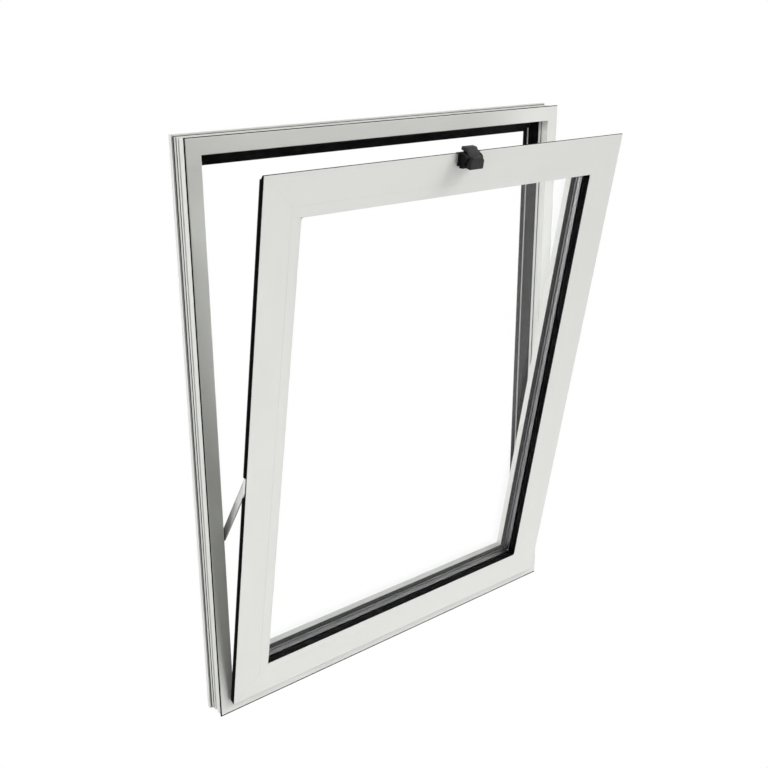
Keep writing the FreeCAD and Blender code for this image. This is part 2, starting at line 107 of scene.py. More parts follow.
# Frame and sash, as in the part's source
FRAME_W = 1000.0
FRAME_H = 1250.0
ROOM_Y = -12.0                # room-side face of the frame
SASH_Y = -22.1                # room-side face of the closed sash
SASH_INSET = 25.0             # from the frame's outside edge to the sash's edge
SASH_TOP = FRAME_H - SASH_INSET
SASH_FACE = 85.0              # face width of the stiles and the top rail
BOTTOM_FACE = 76.2            # face width of the bottom rail
BOTTOM_SHARE = BOTTOM_FACE / SASH_FACE
OPEN_TURN = math.radians(10.0)
HINGE_Y = -15.4
HINGE_Z = 22.0

# Frame seals and black painted-shade strips: outlines of (inset from the frame's edge, depth from its
# room-side face), and their rounds
CENTRE_SEAL = [(28.0, 26.0), (33.5, 26.0), (40.0, 41.5), (50.0, 41.5), (50.0, 44.0), (28.0, 44.0)]
CENTRE_SEAL_ROUND = [0.3, 1.2, 3.0, 1.1, 1.1, 0.3]
STOP_SEAL = [(44.0, 48.0), (53.0, 48.0), (58.5, 48.8), (58.5, 53.0), (54.5, 54.0), (44.0, 54.0)]
STOP_SEAL_ROUND = [0.3, 2.0, 1.6, 1.6, 2.0, 0.3]
# Black strips that paint the shade in the front and back grooves and on the step at the foot of the rebate's
# ridge
FRONT_GROOVE_SHADE = [(-1.4, 1.6), (7.9, 1.6), (7.9, 5.0), (-1.4, 5.0)]
BACK_GROOVE_SHADE = [(-0.8, 43.1), (5.9, 43.1), (5.9, 44.5), (-0.8, 44.5)]
REBATE_STEP_SHADE = [(32.0, 17.9), (33.3, 17.9), (33.3, 19.0), (32.0, 19.0)]
SHADE_STRIP_ROUND = 0.2
SILL_SHADE_DROP = 2.0          # a strip that stands proud is lowered this much more below the sill: painted shade along the sill's lower front edge
MITRE_ROUND = 0.05            # reach of the round where two sides of a seal meet

# Overlap seal, from the sash's edge and room-side face: on the two sides, and on the top and bottom
OVERLAP_SEAL_SIDES = [(-0.2, 0.3), (-0.2, 4.2), (-3.2, 5.2), (-3.2, 9.0), (3.0, 9.0), (9.0, 8.0),
                      (9.0, 1.5), (0.0, 1.5), (0.0, 0.3)]
OVERLAP_SEAL_ENDS = [(-0.2, 0.3), (-0.2, 4.2), (7.0, 5.2), (7.4, 9.0), (8.0, 9.0), (9.0, 8.0),
                     (9.0, 1.5), (0.0, 1.5), (0.0, 0.3)]
OVERLAP_SEAL_ROUND = [0.15, 0.3, 0.3, 0.8, 0.8, 1.5, 0.3, 0.1, 0.1]
OVERLAP_SEAL_GAP = 1.0        # from a hinge to the seal's cut end
STAY_NOTCH = (566.0, 616.0)   # heights between which the seal is cut back for a stay
STAY_NOTCH_END = 3.0          # length over which the cut begins and ends
STAY_NOTCH_INSET = -0.2       # outermost inset that the cut leaves
STAY_NOTCH_DEPTH = 3.4        # deepest depth that the cut leaves

# Glazing: outlines from the sash's edge and room-side face
BEAD_D = 16.0
NOSE_D = 0.6                  # depth of the bead's nose in front of the lining
LINING_INSET = 83.5
LINING_END = 17.0             # depth of the lining's back
LINING = [(71.0, BEAD_D), (LINING_INSET, BEAD_D), (LINING_INSET, NOSE_D), (SASH_FACE, NOSE_D),
          (SASH_FACE, LINING_END), (71.0, LINING_END)]
LINING_ROUND = [0.3, 0.3, 0.1, 0.1, 0.5, 0.3]
LINING_CORNER = 5.0           # reach of the round at the opening's corners
LINING_CORNER_STEPS = 9
BEAD_NOSE = [(83.4, 0.0), (SASH_FACE, 0.0), (SASH_FACE, NOSE_D), (83.4, NOSE_D)]
BEAD_NOSE_ROUND = [0.05, 0.25, 0.05, 0.05]
FILLET_RIM = 0.05
FILLET_RIM_STEPS = 2
OUTER_SEAL = [(75.5, 43.5), (92.2, 43.5), (92.2, 46.0), (75.5, 46.0)]
OUTER_SEAL_ROUND = [0.3, 0.9, 0.9, 0.3]
SPACER = [(68.0, 21.1), (SASH_FACE, 21.1), (SASH_FACE, 31.2), (82.4, 31.2), (82.4, 35.0),
          (SASH_FACE, 35.0), (SASH_FACE, 39.4), (68.0, 39.4)]
SPACER_ROUND = [0.2, 0.4, 0.3, 0.2, 0.2, 0.3, 0.4, 0.2]
SPACER_CORNER = 2.0
SPACER_CORNER_STEPS = 5

# Screw heads: rows from the rim over the dome and down into the recess, as shares of radius and of height
SCREW_RADII = np.array([0.99, 1.0, 0.97, 0.85, 0.62, 0.5, 0.46, 0.42])
SCREW_HEIGHTS = np.array([-0.3, 0.25, 0.6, 0.9, 1.0, 1.0, 0.55, 0.1])
SCREW_RECESS_ROW = 5          # first row of the recess
SCREW_LOBES = 6
SCREW_LOBE_DEPTH = 0.13       # as a share of the radius
SCREW_H = 0.5
SCREW_SIDES = 24

# Hinges
HINGE_X = 300.0
HINGE_HALF = 36.4             # half the length of a hinge
KNUCKLE_R = 2.8
KNUCKLE_HALF = 12.0           # half the length of the sash's knuckle
KNUCKLE_GAP = 0.4
KNUCKLE_SHORT = 0.5           # from the end of a leaf to the end of its knuckle
HINGE_PIN_R = 1.4
HINGE_PIN_RIM = 0.5
HINGE_PIN_SIDES = 24
LEAF_T = 2.0
LEAF_RIM = 0.4
LEAF_LOW = 25.3               # lower edge of both leaves
FRAME_LEAF_TOP = 31.3
FRAME_LEAF_ROUND = [0.2, 0.2, 0.6, 0.6, 0.2, 0.2, 1.5, 1.5]
SASH_LEAF_TOP = 37.3
SASH_LEAF_ROUND = [0.2, 0.2, 0.6, 1.0, 2.0, 2.0, 1.0, 0.6]
SASH_LEAF_Y = -20.6           # back of the sash's overlapping flange
NECK_T = 3.4                  # from the hinge line to the room-side face of the neck
NECK_ROUND = 0.3
NECK_RIM = 0.2
LEAF_SCREWS = (-27.0, 0.0, 27.0)
LEAF_SCREW_R = 2.1
SASH_SCREW_UP = 1.0           # the sash leaf's screws sit above the middle of its height

# Stays: BRACKET, ARM, PIVOT_HEAD, COLLAR, TRACK and UPPER_PIN_END are insets from the frame's side
STAY_Y = 0.0
STAY_PIVOT_Z = 424.0
STAY_L = 196.0
STAY_W = 17.0
STAY_TRIALS = 60
BRACKET = (32.0, 34.5)
BRACKET_W = 14.0
BRACKET_H = 50.0
BRACKET_CORNER = 5.0
BRACKET_RIM = 0.5
BRACKET_SCREWS = (-17.0, 17.0)  # heights from the pivot
BRACKET_SCREW_R = 3.0
ARM = (35.5, 38.5)
ARM_RIM = 0.6
STAY_PIN_R = 3.0
STAY_PIN_SINK = 0.5           # how far a pin reaches into what holds it
PIVOT_RIM = 0.05
PIVOT_HEAD = (39.0, 41.0)
PIVOT_HEAD_R = 5.0
PIVOT_HEAD_RIM = 0.9
HEAD_SIDES = 40
UPPER_PIN_END = 48.1
UPPER_PIN_RIM = 0.5
COLLAR = (38.2, 39.7)
COLLAR_R = 5.0
COLLAR_RIM = 0.5
TRACK = (46.0, 49.0)
TRACK_Y = -5.0
TRACK_W = 13.0
TRACK_ROUND = 0.5
SLOT_R = 3.9

# Latch: outlines of (out from the sash's face, up from its top edge)
LATCH_X = 1.5
LATCH_BASE_W = 53.0
LATCH_BASE = [(0.0, -25.0), (4.0, -25.0), (4.0, 1.4), (0.0, 1.4)]
LATCH_BASE_ROUND = [0.4, 1.4, 1.0, 0.2]
LATCH_BASE_RIM = 0.8
LATCH_LIP_W = 60.0
LATCH_LIP = [(-3.5, 0.0), (3.6, 0.0), (3.6, 1.5), (-3.5, 1.5)]
LATCH_LIP_ROUND = [0.5, 0.3, 0.6, 0.6]
LATCH_LIP_RIM = 0.4
LATCH_AXIS = (14.0, -7.0)
LATCH_PIN_R = 2.5
LATCH_PIN_PROUD = 0.6         # how far the pin stands out of the ears, with a round rim of the same size
EAR = [(3.5, -29.5), (14.5, -27.5), (15.5, -15.0), (21.0, -11.5), (21.0, -4.0), (15.0, -0.5),
       (8.5, 1.8), (3.5, 1.8)]
EAR_ROUND = [0.3, 0.8, 2.0, 3.4, 3.4, 2.0, 1.5, 0.3]
EAR_START = 15.75             # from the latch's middle to an ear
EAR_T = 6.8
EAR_END = EAR_START + EAR_T
EAR_RIM = 0.7
RIBS_OUT = (6.5, 9.5, 12.5)
RIB_UP = (-24.0, -1.2)
RIB_R = 0.8
RIB_RIM = 0.4
RIB_SIDES = 12
ROCKER_W = 30.5
ROCKER = [(7.0, 2.0), (7.0, -7.0), (11.0, -27.0), (24.0, -27.0), (24.0, -3.0), (17.0, -0.5), (14.0, 2.0)]
ROCKER_ROUND = [0.3, 3.0, 1.0, 0.5, 0.5, 2.0, 0.3]
ROCKER_RIM = 0.6
HOOD = [(-6.0, 4.6), (0.0, 4.2), (1.5, 2.4), (15.0, 1.2), (7.0, 11.8), (-6.0, 11.8)]
HOOD_ROUND = [1.2, 0.6, 0.4, 0.6, 2.5, 1.6]
HOOD_RIM = 1.2
THUMB_W = 36.0
THUMB_OUT = (22.5, 29.5)
THUMB_UP = (-26.5, -3.0)
THUMB_CHAMFER = 6.0
THUMB_ROUND = 1.6
THUMB_RIM = 1.4
THUMB_RIM_STEPS = 6


def place_camera():
    """Camera at the photograph's place: turned about Z, dipped, then rolled about its own view axis."""
    camera = bpy.data.objects.new("camera", bpy.data.cameras.new("camera"))
    bpy.context.collection.objects.link(camera)
    camera.location = CAMERA_PLACE
    level = Euler((math.radians(90 - CAMERA_DIP), 0, math.radians(-CAMERA_TURN))).to_quaternion()
    turn = level @ Quaternion((0, 0, 1), math.radians(CAMERA_ROLL))
    camera.rotation_euler = turn.to_euler()
    camera.data.lens = CAMERA_LENS
    camera.data.sensor_width = CAMERA_SENSOR
    camera.data.clip_end = CAMERA_SIGHT
    bpy.context.scene.camera = camera


def white_for_viewers(tree):
    """Factor: 1 for camera, glossy and transmission rays, 0 for the rays that light the object."""
    path = tree.nodes.new("ShaderNodeLightPath")
    mirror = tree.nodes.new("ShaderNodeMath")
    mirror.operation = "MAXIMUM"
    seen = tree.nodes.new("ShaderNodeMath")
    seen.operation = "MAXIMUM"
    tree.links.new(path.outputs["Is Glossy Ray"], mirror.inputs[0])
    tree.links.new(path.outputs["Is Transmission Ray"], mirror.inputs[1])
    tree.links.new(path.outputs["Is Camera Ray"], seen.inputs[0])
    tree.links.new(mirror.outputs[0], seen.inputs[1])
    return seen.outputs[0]


def light_world():
    """White backdrop for what the camera, mirrors and glass see.  It gives the object no light."""
    world = bpy.data.worlds.new("studio")
    bpy.context.scene.world = world
    world.use_nodes = True
    tree = world.node_tree
    tree.links.new(white_for_viewers(tree), tree.nodes["Background"].inputs["Strength"])
    tree.nodes["Background"].inputs["Color"].default_value = (1, 1, 1, 1)


def light_lamps():
    """Soft distant lamps all round.  At strength 1, square on, a lamp shows a white surface white."""
    for name, (bearing, height, strength) in LAMPS.items():
        lamp = bpy.data.lights.new(name, "SUN")
        lamp.energy = math.pi * strength
        lamp.angle = math.radians(LAMP_SPREAD)
        holder = bpy.data.objects.new(name, lamp)
        bpy.context.collection.objects.link(holder)
        flat, turn = math.cos(math.radians(height)), math.radians(bearing)
        towards = Vector((flat * math.sin(turn), -flat * math.cos(turn), math.sin(math.radians(height))))
        holder.rotation_euler = towards.to_track_quat("Z", "Y").to_euler()


def lay_floor():
    """Pale floor below the window, white to the camera and plain to the light.  It shades nothing."""
    half = FLOOR_SIZE / 2
    corners = np.array([(-half, -half), (half, -half), (half, half), (-half, half)])
    points = np.column_stack([corners, np.full(4, -FLOOR_DROP)])
    mesh = bpy.data.meshes.new("floor")
    mesh.from_pydata(points.tolist(), [], [(0, 1, 2, 3)])
    floor = bpy.data.objects.new("floor", mesh)
    bpy.context.collection.objects.link(floor)
    paint = bpy.data.materials.new("floor")
    paint.use_nodes = True
    tree = paint.node_tree
    tree.nodes.clear()
    matt = tree.nodes.new("ShaderNodeBsdfDiffuse")
    matt.inputs["Color"].default_value = (FLOOR_GREY, FLOOR_GREY, FLOOR_GREY, 1)
    glow = tree.nodes.new("ShaderNodeEmission")
    glow.inputs["Color"].default_value = (1, 1, 1, 1)
    mix = tree.nodes.new("ShaderNodeMixShader")
    out = tree.nodes.new("ShaderNodeOutputMaterial")
    tree.links.new(white_for_viewers(tree), mix.inputs[0])
    tree.links.new(matt.outputs[0], mix.inputs[1])
    tree.links.new(glow.outputs[0], mix.inputs[2])
    tree.links.new(mix.outputs[0], out.inputs[0])
    mesh.materials.append(paint)
    floor.visible_shadow = False


def new_finish(name, colour, roughness):
    """A material with its surface shader, ready for variation and bump."""
    finish = bpy.data.materials.new(name)
    finish.use_nodes = True
    shader = finish.node_tree.nodes["Principled BSDF"]
    shader.inputs["Base Color"].default_value = (*colour, 1)
    shader.inputs["Roughness"].default_value = roughness
    return finish, finish.node_tree, shader


def noise(tree, waves, detail=2.0, stretch=(1, 1, 1)):
    """Noise on Object coordinates, in waves per metre, stretched along the axes."""
    place = tree.nodes.new("ShaderNodeTexCoord")
    turn = tree.nodes.new("ShaderNodeMapping")
    turn.inputs["Scale"].default_value = stretch
    grain = tree.nodes.new("ShaderNodeTexNoise")
    grain.inputs["Scale"].default_value = waves
    grain.inputs["Detail"].default_value = detail
    tree.links.new(place.outputs["Object"], turn.inputs["Vector"])
    tree.links.new(turn.outputs["Vector"], grain.inputs["Vector"])
    return grain.outputs["Fac"]


def vary_gloss(tree, shader, value, low, high):
    """Roughness spread over a range by a noise value."""
    spread = tree.nodes.new("ShaderNodeMapRange")
    spread.inputs["From Min"].default_value = NOISE_RANGE[0]
    spread.inputs["From Max"].default_value = NOISE_RANGE[1]
    spread.inputs["To Min"].default_value = low
    spread.inputs["To Max"].default_value = high
    tree.links.new(value, spread.inputs["Value"])
    tree.links.new(spread.outputs["Result"], shader.inputs["Roughness"])


def vary_colour(tree, shader, value, colour, low, high):
    """Base colour led by a noise value from low times the colour to high times the colour."""
    ramp = tree.nodes.new("ShaderNodeValToRGB")
    for end, place, factor in zip(ramp.color_ramp.elements, NOISE_RANGE, (low, high)):
        end.position = place
        end.color = (*(min(1.0, part * factor) for part in colour), 1)
    tree.links.new(value, ramp.inputs["Fac"])
    tree.links.new(ramp.outputs["Color"], shader.inputs["Base Color"])


def raise_bump(tree, shader, height, distance, strength):
    """Bump from a height value; the distance is in metres."""
    bump = tree.nodes.new("ShaderNodeBump")
    bump.inputs["Distance"].default_value = distance
    bump.inputs["Strength"].default_value = strength
    tree.links.new(height, bump.inputs["Height"])
    tree.links.new(bump.outputs["Normal"], shader.inputs["Normal"])


def powder_coat():
    """White powder coat: fine orange peel, faint cloudiness in colour and gloss."""
    finish, tree, shader = new_finish("powder_coat_white", COAT_WHITE, roughness=0.42)
    vary_colour(tree, shader, noise(tree, waves=7.0), COAT_WHITE, low=0.985, high=1.01)
    vary_gloss(tree, shader, noise(tree, waves=60.0, detail=3.0), low=0.38, high=0.48)
    raise_bump(tree, shader, noise(tree, waves=1100.0, detail=1.0), distance=0.00005, strength=0.25)
    return finish


def rubber(name, colour):
    """Black gasket rubber: matt, slightly dusty."""
    finish, tree, shader = new_finish(name, colour, roughness=0.62)
    shader.inputs["Specular IOR Level"].default_value = RUBBER_SPECULAR
    vary_colour(tree, shader, noise(tree, waves=45.0, detail=3.0), colour, low=1.0, high=2.2)
    vary_gloss(tree, shader, noise(tree, waves=120.0), low=0.52, high=0.72)
    raise_bump(tree, shader, noise(tree, waves=2500.0, detail=1.0), distance=0.00004, strength=0.3)
    return finish


def clear_glass():
    """Clear float glass: thin panes with their gloss in the coat, and a faint smear."""
    finish, tree, shader = new_finish("float_glass", GLASS_CLEAR, roughness=0.0)
    shader.inputs["Transmission Weight"].default_value = 1.0
    shader.inputs["IOR"].default_value = GLASS_IOR
    shader.inputs["Coat Weight"].default_value = GLASS_COAT
    shader.inputs["Coat Roughness"].default_value = 0.0
    vary_gloss(tree, shader, noise(tree, waves=9.0, detail=3.0), low=0.0, high=0.02)
    return finish


def metal(name, colour, roughness, waves, stretch=(1, 1, 1)):
    """Bare metal whose grain shows in colour, gloss and height, drawn out along a stretched axis."""
    finish, tree, shader = new_finish(name, colour, roughness)
    shader.inputs["Metallic"].default_value = 1.0
    streak = noise(tree, waves, stretch=stretch)
    vary_colour(tree, shader, streak, colour, low=0.85, high=1.1)
    vary_gloss(tree, shader, streak, roughness - METAL_SPREAD, roughness + METAL_SPREAD)
    raise_bump(tree, shader, streak, distance=0.00004, strength=0.3)
    return finish


def latch_plastic(name, colour):
    """Dark moulded plastic with a fine spark grain."""
    finish, tree, shader = new_finish(name, colour, roughness=0.45)
    shader.inputs["Specular IOR Level"].default_value = LATCH_SPECULAR
    vary_colour(tree, shader, noise(tree, waves=70.0, detail=3.0), colour, low=1.0, high=1.3)
    vary_gloss(tree, shader, noise(tree, waves=300.0, detail=3.0), low=0.38, high=0.52)
    raise_bump(tree, shader, noise(tree, waves=1800.0), distance=0.00006, strength=0.35)
    return finish


def make_finishes():
    """One finish for each material slot of the record; the hinges have the profiles' coat."""
    coat = powder_coat()
    return {"white_paint": coat,
            "white_hinge": coat,
            "black_rubber": rubber("gasket_rubber", RUBBER_BLACK),
            "black_polyamide": rubber("thermal_break_polyamide", POLYAMIDE_BLACK),
            "clear_glass": clear_glass(),
            "latch_plastic": latch_plastic("latch_plastic", LATCH_BLACK),
            "spacer_metal": metal("spacer_aluminium", SPACER_GREY, roughness=0.4, waves=200.0),
            "stay_steel": metal("stay_steel", STEEL_GREY, roughness=0.38, waves=500.0,
                                stretch=(1, 1, 0.05))}


def dress_nodes():
    """Each CAD node gets its finish.  All but the panes also get round edges, and keep flat faces."""
    for name, node in NODES.items():
        node.data.materials.clear()
        node.data.materials.append(FINISHES[SLOT_OF[name]])
        if SLOT_OF[name] == "clear_glass":
            continue
        weld = node.modifiers.new("weld", "WELD")
        weld.merge_threshold = WELD_REACH
        bevel = node.modifiers.new("edge_round", "BEVEL")
        bevel.width = EDGE_ROUND
        bevel.segments = EDGE_STEPS
        bevel.limit_method = "ANGLE"
        bevel.angle_limit = math.radians(EDGE_ANGLE)
        flat = node.modifiers.new("flat_faces", "WEIGHTED_NORMAL")
        flat.weight = FLAT_WEIGHT


def corners_of(left, right, low, high):
    """Corners (x, z) of upright rectangles, bottom left first, anticlockwise."""
    return np.stack([np.stack([left, low], -1), np.stack([right, low], -1),
                     np.stack([right, high], -1), np.stack([left, high], -1)], -2)


def frame_corners(inset):
    """Corners of the frame at insets from its outside edge."""
    inset = np.asarray(inset, float)
    return corners_of(inset - FRAME_W / 2, FRAME_W / 2 - inset, inset, FRAME_H - inset)


def shade_strip_corners(inset):
    """The frame's corners, with the proud part of a black strip lowered below the sill, as painted shade
    along the sill's lower front edge.
    """
    corners = frame_corners(inset)
    corners[..., :2, 1] -= np.where(np.asarray(inset) < 0, SILL_SHADE_DROP, 0.0)[..., None]
    return corners


def sash_corners(inset):
    """Corners of the closed sash at insets from its edge; the bottom rail is narrower in proportion."""
    inset = np.asarray(inset, float)
    side = FRAME_W / 2 - SASH_INSET - inset
    return corners_of(-side, side, SASH_INSET + inset * BOTTOM_SHARE, SASH_TOP - inset)


def turned(points, angle, y0, z0):
    """Points turned by an angle about the line along X through (y0, z0)."""
    y, z = points[..., 1] - y0, points[..., 2] - z0
    return np.stack([points[..., 0], y0 + y * math.cos(angle) - z * math.sin(angle),
                     z0 + y * math.sin(angle) + z * math.cos(angle)], -1)


def tilt_open(points):
    """Points of the closed sash, turned about the hinge line by the opening angle."""
    return turned(points, OPEN_TURN, HINGE_Y, HINGE_Z)


def closed_range(node):
    """Lowest and highest point of a sash node on the closed sash, from its packed points turned shut."""
    vertices = NODES[node].data.vertices
    points = np.empty(len(vertices) * 3)
    vertices.foreach_get("co", points)
    shut = turned(points.reshape(-1, 3) / MM, -OPEN_TURN, HINGE_Y, HINGE_Z)
    return shut[:, 2].min(), shut[:, 2].max()


def softened(outline, reach, steps=5):
    """A closed outline, or a stack of them, with its corners softened.  Each corner becomes an arc of a
    parabola: it starts the reach before the corner, ends the reach after it, and has the corner as its
    control point."""
    corner = np.asarray(outline, float)
    back = np.roll(corner, 1, -2) - corner
    ahead = np.roll(corner, -1, -2) - corner
    reach = np.broadcast_to(np.asarray(reach, float), corner.shape[:-1])[..., None]
    back_share = np.minimum(reach / np.linalg.norm(back, axis=-1, keepdims=True), MOST_OF_SIDE)
    ahead_share = np.minimum(reach / np.linalg.norm(ahead, axis=-1, keepdims=True), MOST_OF_SIDE)
    start = (corner + back * back_share)[..., None, :]
    end = (corner + ahead * ahead_share)[..., None, :]
    t = np.linspace(0, 1, steps)[:, None]
    arc = (1 - t) ** 2 * start + 2 * t * (1 - t) * corner[..., None, :] + t ** 2 * end
    return arc.reshape(*corner.shape[:-2], -1, corner.shape[-1])


def circle(radius, middle, count=32):
    """Anticlockwise circle: middle plus radius times (cos, sin) of even angles."""
    angle = np.arange(count) * 2 * np.pi / count
    return np.stack([middle[0] + radius * np.cos(angle), middle[1] + radius * np.sin(angle)], -1)


def capsule(half_width, low, high, count=24):
    """Upright anticlockwise capsule: a half circle round the upper point, then one round the lower."""
    angle = np.linspace(0, np.pi, count)
    upper = np.stack([half_width * np.cos(angle), high + half_width * np.sin(angle)], -1)
    lower = np.stack([-half_width * np.cos(angle), low - half_width * np.sin(angle)], -1)
    return np.concatenate([upper, lower])


def rectangle(left, right, low, high, reach):
    """Anticlockwise rectangle with softened corners."""
    return softened([(left, low), (right, low), (right, high), (left, high)], reach)


def slab(outline, start, end, rim, steps=4):
    """A plate with rounded rims, as rows of one outline: from start to end along the plate's thickness the
    outline first swells out by a quarter circle of the rim's radius and at last draws in again.  Gives
    (u, v, w) points."""
    chord = np.roll(outline, -1, 0) - np.roll(outline, 1, 0)
    outward = np.stack([chord[:, 1], -chord[:, 0]], -1)
    outward /= np.linalg.norm(outward, axis=-1, keepdims=True)
    angle = np.linspace(0, np.pi / 2, steps)
    draw_in = rim * (1 - np.sin(angle))
    rise = rim * (1 - np.cos(angle))
    draw_in = np.concatenate([draw_in, draw_in[::-1]])
    along = np.concatenate([start + rise, end - rise[::-1]])
    flat = outline[None] - outward[None] * draw_in[:, None, None]
    return np.concatenate([flat, np.broadcast_to(along[:, None, None], (*flat.shape[:2], 1))], -1)


def along_x(grid):
    """A slab's (u, v, w) as (y, z, x)."""
    return np.stack([grid[..., 2], grid[..., 0], grid[..., 1]], -1)


def along_y(grid):
    """A slab's (u, v, w) as (x, z, -y): its thickness runs towards the room."""
    return np.stack([grid[..., 0], -grid[..., 2], grid[..., 1]], -1)


def beside(hand, grid):
    """A slab's (u, v, w) as (y, z) and an inset from the frame's left (-1) or right (1) side."""
    return np.stack([hand * (FRAME_W / 2 - grid[..., 2]), grid[..., 0], grid[..., 1]], -1)


def ring(profile, profile_round, corners, front, reach=MITRE_ROUND, steps=2):
    """A softened profile of (inset, depth) carried round a rectangle.  For every profile point the rectangle
    at its inset is drawn, with corners softened by the reach.  Gives rows of closed loops."""
    outline = softened(profile, profile_round, PROFILE_STEPS)
    loops = softened(corners(outline[:, 0]), reach, steps)
    depth = np.broadcast_to(front + outline[:, 1][:, None], loops.shape[:2])
    return np.stack([loops[..., 0], depth, loops[..., 1]], -1)


def grid_faces(rows, columns, rows_closed, first):
    """Quads of a grid whose columns close on themselves; its rows do so too or end in two flat caps."""
    index = first + np.arange(rows * columns).reshape(rows, columns)
    below = index if rows_closed else index[:-1]
    above = np.roll(index, -1, 0) if rows_closed else index[1:]
    quads = np.stack([below, np.roll(below, -1, 1), np.roll(above, -1, 1), above], -1)
    faces = quads.reshape(-1, 4).tolist()
    if not rows_closed:
        faces += [index[0][::-1].tolist(), index[-1].tolist()]
    return faces


def add_piece(name, grids, finish_slot, body, replaced=(), finish=None):
    """One mesh from several grids in millimetres; a grid marked True closes in both directions.  It has the
    finish of its slot, unless another is given."""
    points, faces = [], []
    count = 0
    for grid, both_closed in grids:
        rows, columns = grid.shape[:2]
        faces += grid_faces(rows, columns, both_closed, count)
        points.append(grid.reshape(-1, 3))
        count += rows * columns
    mesh = bpy.data.meshes.new(name)
    mesh.from_pydata((np.concatenate(points) * MM).tolist(), [], faces)
    shell = bmesh.new()
    shell.from_mesh(mesh)
    bmesh.ops.remove_doubles(shell, verts=shell.verts, dist=MERGE_REACH)
    bmesh.ops.recalc_face_normals(shell, faces=shell.faces)
    shell.to_mesh(mesh)
    shell.free()
    mesh.shade_smooth()
    mesh.set_sharp_from_angle(angle=math.radians(SMOOTH_ANGLE))
    mesh.materials.append(finish or FINISHES[finish_slot])
    piece = bpy.data.objects.new(name, mesh)
    bpy.context.collection.objects.link(piece)
    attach(piece, body)
    if replaced:
        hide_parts(*replaced)


def make_frame_seals():
    """The two rubber seals that run round the frame's rebate, and black strips as painted shade: in the
    front and back grooves, on the step at the foot of the rebate's ridge, and along the sill's lower front
    edge.
    """
    centre = ring(CENTRE_SEAL, CENTRE_SEAL_ROUND, frame_corners, ROOM_Y)
    add_piece("centre_seal", [(centre, True)], "black_rubber", "frame", ["frame_centre_gasket"])
    stop = ring(STOP_SEAL, STOP_SEAL_ROUND, frame_corners, ROOM_Y)
    add_piece("stop_seal", [(stop, True)], "black_rubber", "frame", ["frame_stop_gasket"])
    # black strips: painted shade of the grooves, the ridge's step and the sill's lower front edge
    strips = [(ring(outline, SHADE_STRIP_ROUND, shade_strip_corners, ROOM_Y), True)
              for outline in (FRONT_GROOVE_SHADE, BACK_GROOVE_SHADE, REBATE_STEP_SHADE)]
    add_piece("painted_shade_strips", strips, "black_rubber", "frame")


def make_overlap_seal():
    """Bulb seal behind the sash's overlapping flange, cut at the two hinges.  Its softened profile is
    carried along the short run between the hinges, and along the long run from one hinge round the sash to
    the other.  It is wider on the two sides than at the ends, so a corner takes x from the one profile and
    z from the other.  Where a stay passes, the profile is held to a thin strip."""
    sides = softened(OVERLAP_SEAL_SIDES, OVERLAP_SEAL_ROUND)
    ends = softened(OVERLAP_SEAL_ENDS, OVERLAP_SEAL_ROUND)
    held = np.stack([np.maximum(sides[:, 0], STAY_NOTCH_INSET),
                     np.minimum(sides[:, 1], STAY_NOTCH_DEPTH)], -1)
    low = sash_corners(ends[:, 0])[:, 0, 1]
    high = sash_corners(ends[:, 0])[:, 2, 1]

    def section(x, depth, z):
        """The profile's points at one place of the run."""
        return np.stack([np.broadcast_to(x, low.shape), SASH_Y + depth, np.broadcast_to(z, low.shape)], -1)

    def on_bottom(x):
        """The profile's points at one place of the bottom."""
        return section(x, sides[:, 1], low)

    def on_side(hand, profile, z):
        """The profile's points at one height of the left (-1) or right (1) side."""
        return section(hand * sash_corners(profile[:, 0])[:, 1, 0], profile[:, 1], z)

    def whole_side(hand):
        """One side from the bottom corner past the notch to the top corner."""
        bottom, top = STAY_NOTCH
        return [on_side(hand, sides, low),
                on_side(hand, sides, bottom),
                on_side(hand, held, bottom + STAY_NOTCH_END),
                on_side(hand, held, top - STAY_NOTCH_END),
                on_side(hand, sides, top),
                on_side(hand, sides, high)]

    inner = HINGE_X - HINGE_HALF - OVERLAP_SEAL_GAP
    outer = HINGE_X + HINGE_HALF + OVERLAP_SEAL_GAP
    short = [on_bottom(-inner), on_bottom(inner)]
    long = [on_bottom(outer), *whole_side(1), *whole_side(-1)[::-1], on_bottom(-outer)]
    grids = [(tilt_open(np.stack(run, 0)), False) for run in (short, long)]
    add_piece("overlap_seal", grids, "black_rubber", "sash", ["sash_overlap_gasket"])


def make_glazing():
    """Gasket lining with round corners, outer seal, grooved spacer, and the bead's nose over the lining."""
    lining = ring(LINING, LINING_ROUND, sash_corners, SASH_Y, LINING_CORNER, LINING_CORNER_STEPS)
    outer = ring(OUTER_SEAL, OUTER_SEAL_ROUND, sash_corners, SASH_Y)
    spacer = ring(SPACER, SPACER_ROUND, sash_corners, SASH_Y, SPACER_CORNER, SPACER_CORNER_STEPS)
    for name, loops, slot, node in (("glazing_lining", lining, "black_rubber", "glazing_gasket_inner"),
                                    ("outer_glazing_seal", outer, "black_rubber", "glazing_gasket_outer"),
                                    ("glass_spacer_bar", spacer, "spacer_metal", "glass_spacer")):
        add_piece(name, [(tilt_open(loops), True)], slot, "sash", [node])
    nose = ring(BEAD_NOSE, BEAD_NOSE_ROUND, sash_corners, SASH_Y, LINING_CORNER, LINING_CORNER_STEPS)
    grids = [(tilt_open(nose), True)]
    grids += [(tilt_open(fillet), False) for fillet in bead_fillets()]
    add_piece("bead_nose", grids, "white_paint", "sash")


def bead_fillets():
    """The four pieces of bead between the lining's round corners and the square corners of the beads: each
    is the lining's arc, closed by the corner and carried through the bead's depth."""
    corners = sash_corners(LINING_INSET)
    arcs = softened(corners, LINING_CORNER, LINING_CORNER_STEPS).reshape(4, LINING_CORNER_STEPS, 2)
    outlines = [np.concatenate([arc[::-1], corner[None]]) for arc, corner in zip(arcs, corners)]
    return [along_y(slab(outline, -SASH_Y - BEAD_D, -SASH_Y, FILLET_RIM, FILLET_RIM_STEPS))
            for outline in outlines]


